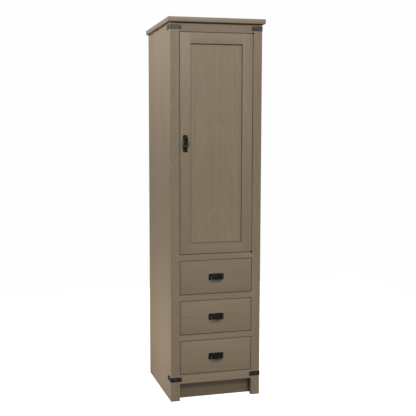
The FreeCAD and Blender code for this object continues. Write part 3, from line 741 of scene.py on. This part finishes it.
def smooth_line(corners, steps):
    """A smooth line through points, as a chain of cubic curves, and how far along each point is."""
    line, share = [], []
    last = len(corners) - 1
    for number in range(last):
        before, here = corners[max(number - 1, 0)], corners[number]
        there, after = corners[number + 1], corners[min(number + 2, last)]
        for step in range(steps if number < last - 1 else steps + 1):
            t = step / steps
            line.append(0.5 * (2 * here + (there - before) * t
                               + (2 * before - 5 * here + 4 * there - after) * t ** 2
                               + (3 * here - before - 3 * there + after) * t ** 3))
            share.append((number + t) / last)
    return line, share


def bail(name, joint, tilt, corners, arm, grip, body, node):
    """A forged bail that hangs from its joint: thin arms and a bar that swells in the middle."""
    pivot = Vector(joints[joint]["pos_m"])
    line, share = smooth_line([Vector((x * MM, 0, z * MM)) for x, z in corners], 7)
    swell = [max(0.0, 1 - abs(part - 0.5) * 2 / 0.62) for part in share]
    widths = [(arm[0] + (grip[0] - arm[0]) * part ** 0.7) * MM for part in swell]
    depths = [(arm[1] + (grip[1] - arm[1]) * part ** 0.7) * MM for part in swell]
    bm = bmesh.new()
    sweep(bm, line, widths, depths, 0.72, Y)
    hammer(bm, 0.28 * MM, lambda vert: abs(vert.co.z) > 2.5 * MM, 0.25)
    reach = abs(line[0].x)
    for sign in (-1, 1):
        rod_shape(bm, X * sign * (reach - 5 * MM), X * sign * (reach + 1 * MM), PIN, 16)
        eye = rod_shape(bm, X * sign * (reach - 0.2 * MM), X * sign * (reach + 4.6 * MM), EYE, 20)
        rounded(bm, edges_of(eye), 0.8 * MM, 2)
    lean = Matrix.Translation(pivot) @ Matrix.Rotation(math.radians(-tilt), 4, "X")
    bmesh.ops.transform(bm, matrix=lean, verts=bm.verts)
    finished(name, bm, body, IRON, [node])


def backplate(name, node, joint, knuckles, arch, body, screws=()):
    """A hammered plate with posts that hold the bail's pins."""
    low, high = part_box(node)
    pivot = Vector(joints[joint]["pos_m"])
    bm = bmesh.new()
    metal_sheet(bm, high.x - low.x, high.z - low.z, PLATE, 1.6 * MM, 2.6 * MM, arch)
    hammer(bm, 0.5 * MM, lambda vert: vert.co.y < -PLATE / 2, -0.2)
    bmesh.ops.translate(bm, vec=((low.x + high.x) / 2, front, (low.z + high.z) / 2), verts=bm.verts)
    posts = bmesh.new()
    for start, end in knuckles:
        start, end = pivot.x + start * MM, pivot.x + end * MM
        eye = rod_shape(posts, (start, pivot.y, pivot.z), (end, pivot.y, pivot.z), KNUCKLE, 28)
        rounded(posts, rims_of(eye), 0.7 * MM, 2)
        neck = box_shape(posts, (start + 0.4 * MM, pivot.y, pivot.z - 3.0 * MM),
                         (end - 0.4 * MM, front - PLATE / 2, pivot.z + 3.0 * MM))
        rounded(posts, edges_of(neck), 0.5 * MM, 2)
        centre = (start + end) / 2
        foot = rod_shape(posts, (centre, front - PLATE + 0.4 * MM, pivot.z),
                         (centre, front - PLATE - 1.0 * MM, pivot.z), (end - start) / 2 + 1.2 * MM, 28)
        rounded(posts, rims_of(foot), 0.5 * MM, 2)
    for x, z in screws:
        slotted_head(posts, Vector((x, front - PLATE + 0.3 * MM, z)), -Y, 3.4 * MM, 0.5)
    mark_crests(posts, lambda vert: 0.45)
    merge_into(bm, posts)
    finished(name, bm, body, IRON, [node])


def slotted_head(bm, seat, way, radius, angle):
    """A round screw head with a slot, which stands on a seat and looks along way."""
    head = bmesh.new()
    slot, rise = radius * 0.16, radius * 0.62
    for sign in (-1, 1):
        half = bmesh.new()
        bmesh.ops.create_uvsphere(half, u_segments=24, v_segments=12, radius=1.0,
                                  matrix=Matrix.Diagonal((radius, radius, rise, 1)))
        for point, normal in (((0, 0, 0), (0, 0, -1)), ((sign * slot, 0, 0), (-sign, 0, 0))):
            bmesh.ops.bisect_plane(half, geom=half.verts[:] + half.edges[:] + half.faces[:], dist=1e-7,
                                   plane_co=point, plane_no=normal, clear_outer=True)
            bmesh.ops.holes_fill(half, edges=half.edges, sides=0)
        merge_into(head, half)
    bmesh.ops.create_cone(head, cap_ends=True, segments=24, radius1=radius, radius2=radius * 0.94,
                          depth=rise * 0.4, matrix=Matrix.Translation((0, 0, rise * 0.2)))
    turn = way.to_track_quat("Z", "Y").to_matrix().to_4x4()
    place = Matrix.Translation(seat) @ turn @ Matrix.Rotation(angle, 4, "Z")
    bmesh.ops.transform(head, matrix=place, verts=head.verts)
    bmesh.ops.recalc_face_normals(head, faces=head.faces)
    merge_into(bm, head)


# The left half of each bail from its pin to its middle, across and up from the pin, in millimetres.
DRAWER_BAIL = [(-24.0, 0.0), (-26.6, -0.6), (-30.4, -5.4), (-33.6, -11.5), (-34.9, -18.0), (-31.6, -23.2),
               (-23.0, -26.0), (0.0, -28.0)]
DOOR_BAIL = [(-9.2, 0.0), (-10.8, -2.5), (-11.8, -9.0), (-13.2, -22.0), (-15.0, -38.5), (-14.2, -43.2),
             (-9.5, -45.3), (0.0, -45.8)]


def both_ways(half):
    """A line that is the same left and right, from its left half."""
    return half + [(-x, z) for x, z in reversed(half[:-1])]


corner_straps()
forged_nails()
plate_low, plate_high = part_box("door_pull_plate")
plate_middle = (plate_low.x + plate_high.x) / 2
backplate("door_backplate", "door_pull_plate", "door_bail_swing", [(-8.0, 8.0)], 1.0 * MM, "door",
          [(plate_middle, plate_low.z + 9.5 * MM), (plate_middle, plate_high.z - 8.5 * MM)])
bail("door_bail_forged", "door_bail_swing", 11.0, both_ways(DOOR_BAIL), (4.6, 5.4), (6.8, 6.2),
     "door_bail", "door_pull_bail")
for number in DRAWERS:
    name = "drawer_%d_" % number
    backplate(name + "backplate", name + "pull_plate", name + "bail_swing",
              [(-22.5, -16.5), (16.5, 22.5)], 2.0 * MM, "drawer_%d" % number)
    bail(name + "bail_forged", name + "bail_swing", 18.0, both_ways(DRAWER_BAIL), (4.8, 5.4), (7.0, 6.2),
         name + "bail", name + "pull_bail")


# ---------------------------------------------------------------- small fixings


def screws(name, seats, way, radius, body):
    """Slotted screws in zinc plate on one body, all looking the same way."""
    bm = bmesh.new()
    for number, seat in enumerate(seats):
        slotted_head(bm, Vector(seat), way, radius, 0.4 + 0.9 * number)
    finished(name, bm, body, ZINC)


def magnetic_catch():
    """A softened plastic case, two steel pole plates that face the door and two screws."""
    bm = copy_of("door_catch")
    rounded(bm, outer_edges(bm, "-x +x +y -z +z"), 1.0 * MM)
    finished("catch_case", bm, "case", PLASTIC, ["door_catch"], sharp=50.0)
    low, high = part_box("door_catch")
    strike_low, strike_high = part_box("door_strike")
    middle, level = (strike_low.x + strike_high.x) / 2, (strike_low.z + strike_high.z) / 2
    face = low.y + 0.6 * MM
    half_length, half_thickness, apart = 15 * MM, 0.6 * MM, 2.6 * MM
    poles = bmesh.new()
    for side in (-1, 1):
        z = level + side * apart
        plate = box_shape(poles, (middle - half_length, face - 0.25 * MM, z - half_thickness),
                          (middle + half_length, face + 2.0 * MM, z + half_thickness))
        rounded(poles, edges_of(plate), 0.15 * MM, 2)
    finished("catch_poles", poles, "case", ZINC)
    height, inset = (low.z + high.z) / 2, 6 * MM
    screws("catch_screws", [(low.x + inset, high.y, height), (high.x - inset, high.y, height)], Y,
           3.0 * MM, "case")


def back_brads():
    """Small round heads along the edges of the back panel and into the decks."""
    bm = bmesh.new()
    low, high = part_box("back_panel")
    inset, rows = 5 * MM, 10
    columns = [low.x + inset, high.x - inset]
    levels = [low.z + (high.z - low.z) * row / rows for row in range(1, rows)]
    spots = [(x, z) for x in columns for z in levels]
    for deck in ("sub_top", "divider_deck", "bottom_deck"):
        deck_low, deck_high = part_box(deck)
        z = (deck_low.z + deck_high.z) / 2
        spots += [(low.x + (high.x - low.x) * share, z) for share in (0.2, 0.4, 0.6, 0.8)]
    facing_back = Matrix.Rotation(math.radians(-90), 4, "X")
    for x, z in spots:
        place = Matrix.Translation((x, high.y - 0.15 * MM, z)) @ facing_back
        bmesh.ops.create_cone(bm, cap_ends=True, segments=10, radius1=1.9 * MM, radius2=1.3 * MM,
                              depth=0.6 * MM, matrix=place)
    finished("back_brads", bm, "case", ZINC)


magnetic_catch()
back_brads()
for number in DRAWERS:
    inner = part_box("drawer_%d_front" % number)[1].y
    pivot = joints["drawer_%d_bail_swing" % number]["pos_m"]
    seats = [(x, inner, pivot[2]) for x in (-19.5 * MM, 19.5 * MM)]          # behind the two posts
    screws("drawer_%d_pull_screws" % number, seats, Y, 4.2 * MM, "drawer_%d" % number)


# ---------------------------------------------------------------- room, light and camera


def floor():
    """A plain pale floor that ends in the white of the room."""
    bm = bmesh.new()
    bmesh.ops.create_grid(bm, x_segments=1, y_segments=1, size=2.6)
    mesh = bpy.data.meshes.new("floor")
    bm.to_mesh(mesh)
    bm.free()
    item = bpy.data.objects.new("floor", mesh)
    bpy.context.scene.collection.objects.link(item)
    material, net, shader = new_material("pale floor")
    place = net.node("TexCoord").outputs["Object"]
    cloud = net.clouds(net.scaled(place, (0.7, 0.7, 0.7)), 2.0)
    net.feed(shader.inputs["Base Color"], net.shade(net.total(0.5, cloud), (0.90, 0.90, 0.895),
                                                    (0.93, 0.93, 0.925)))
    shader.inputs["Roughness"].default_value = 0.9
    shader.inputs["Specular IOR Level"].default_value = 0.1
    shader.inputs["Emission Color"].default_value = (1, 1, 1, 1)
    shader.inputs["Emission Strength"].default_value = 0.80
    mesh.materials.append(material)
    item.visible_diffuse = False
    item.visible_glossy = False


def soft_box(name, place, aim, size, power):
    """A white lamp with a soft face, out of the camera's sight."""
    lamp = bpy.data.lights.new(name, "AREA")
    lamp.shape = "RECTANGLE"
    lamp.size, lamp.size_y = size
    lamp.energy = power
    item = bpy.data.objects.new(name, lamp)
    item.location = place
    item.rotation_euler = (Vector(aim) - Vector(place)).to_track_quat("-Z", "Y").to_euler()
    item.visible_camera = False
    bpy.context.scene.collection.objects.link(item)


def studio():
    """A white room that is bright to look at and dim as a light, with four soft boxes."""
    world = bpy.data.worlds.new("studio")
    world.use_nodes = True
    world.node_tree.nodes.clear()
    net = Net(world.node_tree)
    seen = net.node("LightPath").outputs["Is Camera Ray"]
    height = net.split(net.node("TexCoord").outputs["Generated"])[2]
    dim = net.between(height, -0.3, 0.3, 0.14, 0.55)
    glow = net.total(net.calc("MULTIPLY", seen, 0.992),
                     net.calc("MULTIPLY", net.calc("SUBTRACT", 1.0, seen), dim))
    sky = net.node("Background", {"Color": (1, 1, 1, 1), "Strength": glow})
    net.node("OutputWorld", {"Surface": sky.outputs[0]})
    bpy.context.scene.world = world
    soft_box("key", (0.3, -4.6, 4.3), (0, 0, 1.5), (1.4, 0.8), 140.0)
    soft_box("front_low", (0.3, -1.7, 0.25), (0, 0, 0.2), (1.0, 0.4), 2.8)
    soft_box("left_high", (-1.25, 0.0, 2.30), (-0.26, 0, 1.85), (0.4, 0.4), 11.0)
    soft_box("left_low", (-1.15, 0.0, 0.25), (-0.26, 0, 0.35), (0.4, 0.4), 7.0)
    bpy.context.scene.view_settings.view_transform = "Standard"


def camera():
    """Stand to the left of the cabinet and look slightly down and to the right."""
    stand = (-1.2420, -3.7472, 1.4818)
    yaw, pitch, roll = 0.2164, 0.0859, -0.0074
    look = Vector((math.sin(yaw) * math.cos(pitch), math.cos(yaw) * math.cos(pitch), -math.sin(pitch)))
    right = Vector((math.cos(yaw), -math.sin(yaw), 0))
    up = right.cross(look)
    right, up = right * math.cos(roll) + up * math.sin(roll), up * math.cos(roll) - right * math.sin(roll)
    lens = bpy.data.cameras.new("camera")
    lens.lens, lens.sensor_width = 57.546, 36.0
    lens.shift_x, lens.shift_y = 0.17765, -0.02885
    lens.clip_end = 100.0
    item = bpy.data.objects.new("camera", lens)
    item.matrix_world = Matrix.Translation(stand) @ Matrix((right, up, -look)).transposed().to_4x4()
    bpy.context.scene.collection.objects.link(item)
    bpy.context.scene.camera = item


floor()
studio()
camera()
